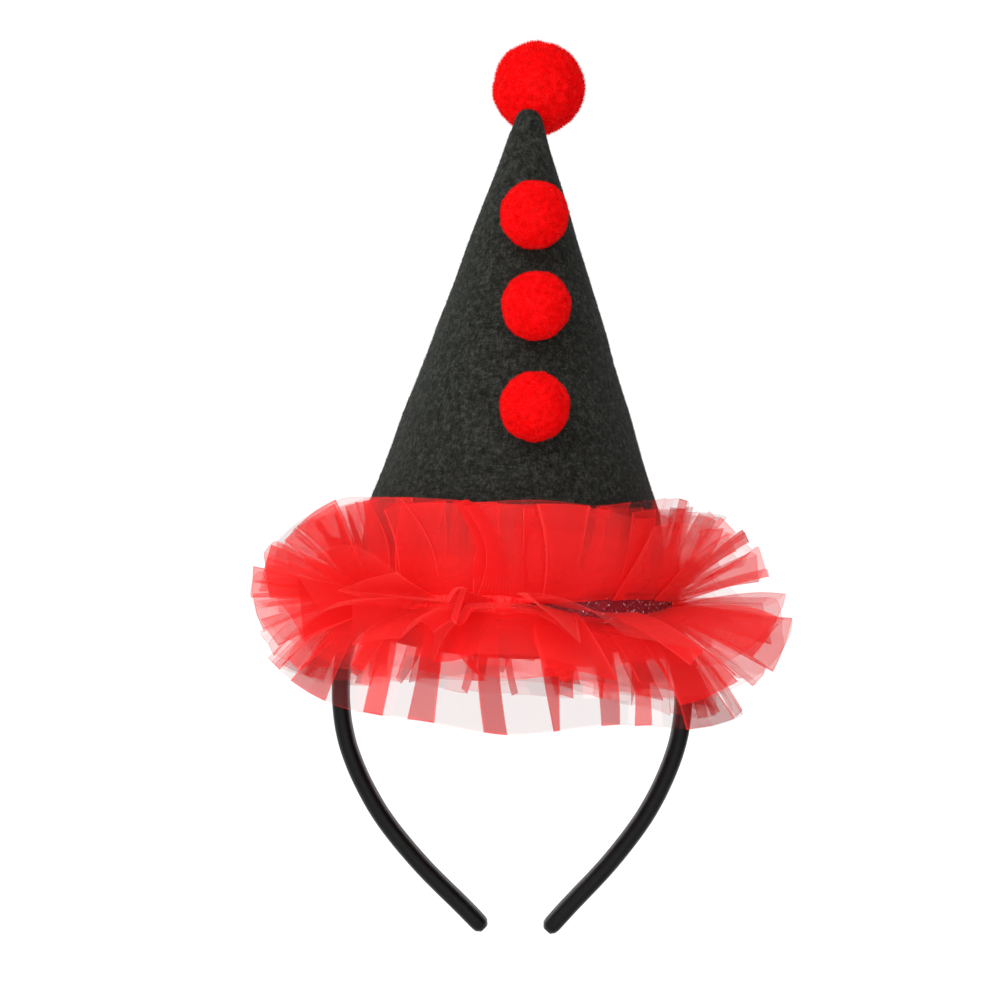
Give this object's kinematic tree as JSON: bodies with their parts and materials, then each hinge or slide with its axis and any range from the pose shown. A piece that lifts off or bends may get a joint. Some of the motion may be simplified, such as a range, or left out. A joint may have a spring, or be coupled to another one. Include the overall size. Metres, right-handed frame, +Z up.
{
  "type": "clown hat headband",
  "caption": "Slim black headband carrying a tall felt cone hat with red pompoms up its front and on its tip, standing in a splayed red tulle ruffle.",
  "frame": {"origin": "where the crown of the wearer's head meets the underside of the headband, on the middle line of the band", "axes": "+Z up along the head, -Y the way the wearer faces, +X towards the wearer's left, with the headband in the XZ plane"},
  "size_m": [0.1971, 0.2053, 0.3217],
  "materials": {
    "satin_black": "black satin ribbon wound tight over a slim band, with a soft streak of light along it",
    "felt_black": "charcoal black craft felt, matte, with a mottled grain of short fibres",
    "glitter_maroon": "dark red ribbon strewn with glitter",
    "tulle_red": "fine red tulle net, sheer in one ply and deep red where the plies lie together",
    "pompom_red": "dense clipped red yarn with a soft fuzzy rim"
  },
  "bodies": {
    "root": {"headband": "satin_black", "hat_cone": "felt_black", "gather_band": "glitter_maroon", "tulle_upper_inner": "tulle_red", "tulle_upper_outer": "tulle_red", "tulle_middle": "tulle_red", "tulle_lower_outer": "tulle_red", "tulle_lower_inner": "tulle_red", "pompom_front_top": "pompom_red", "pompom_front_middle": "pompom_red", "pompom_front_bottom": "pompom_red", "pompom_tip": "pompom_red"}
  },
  "joints": []
}
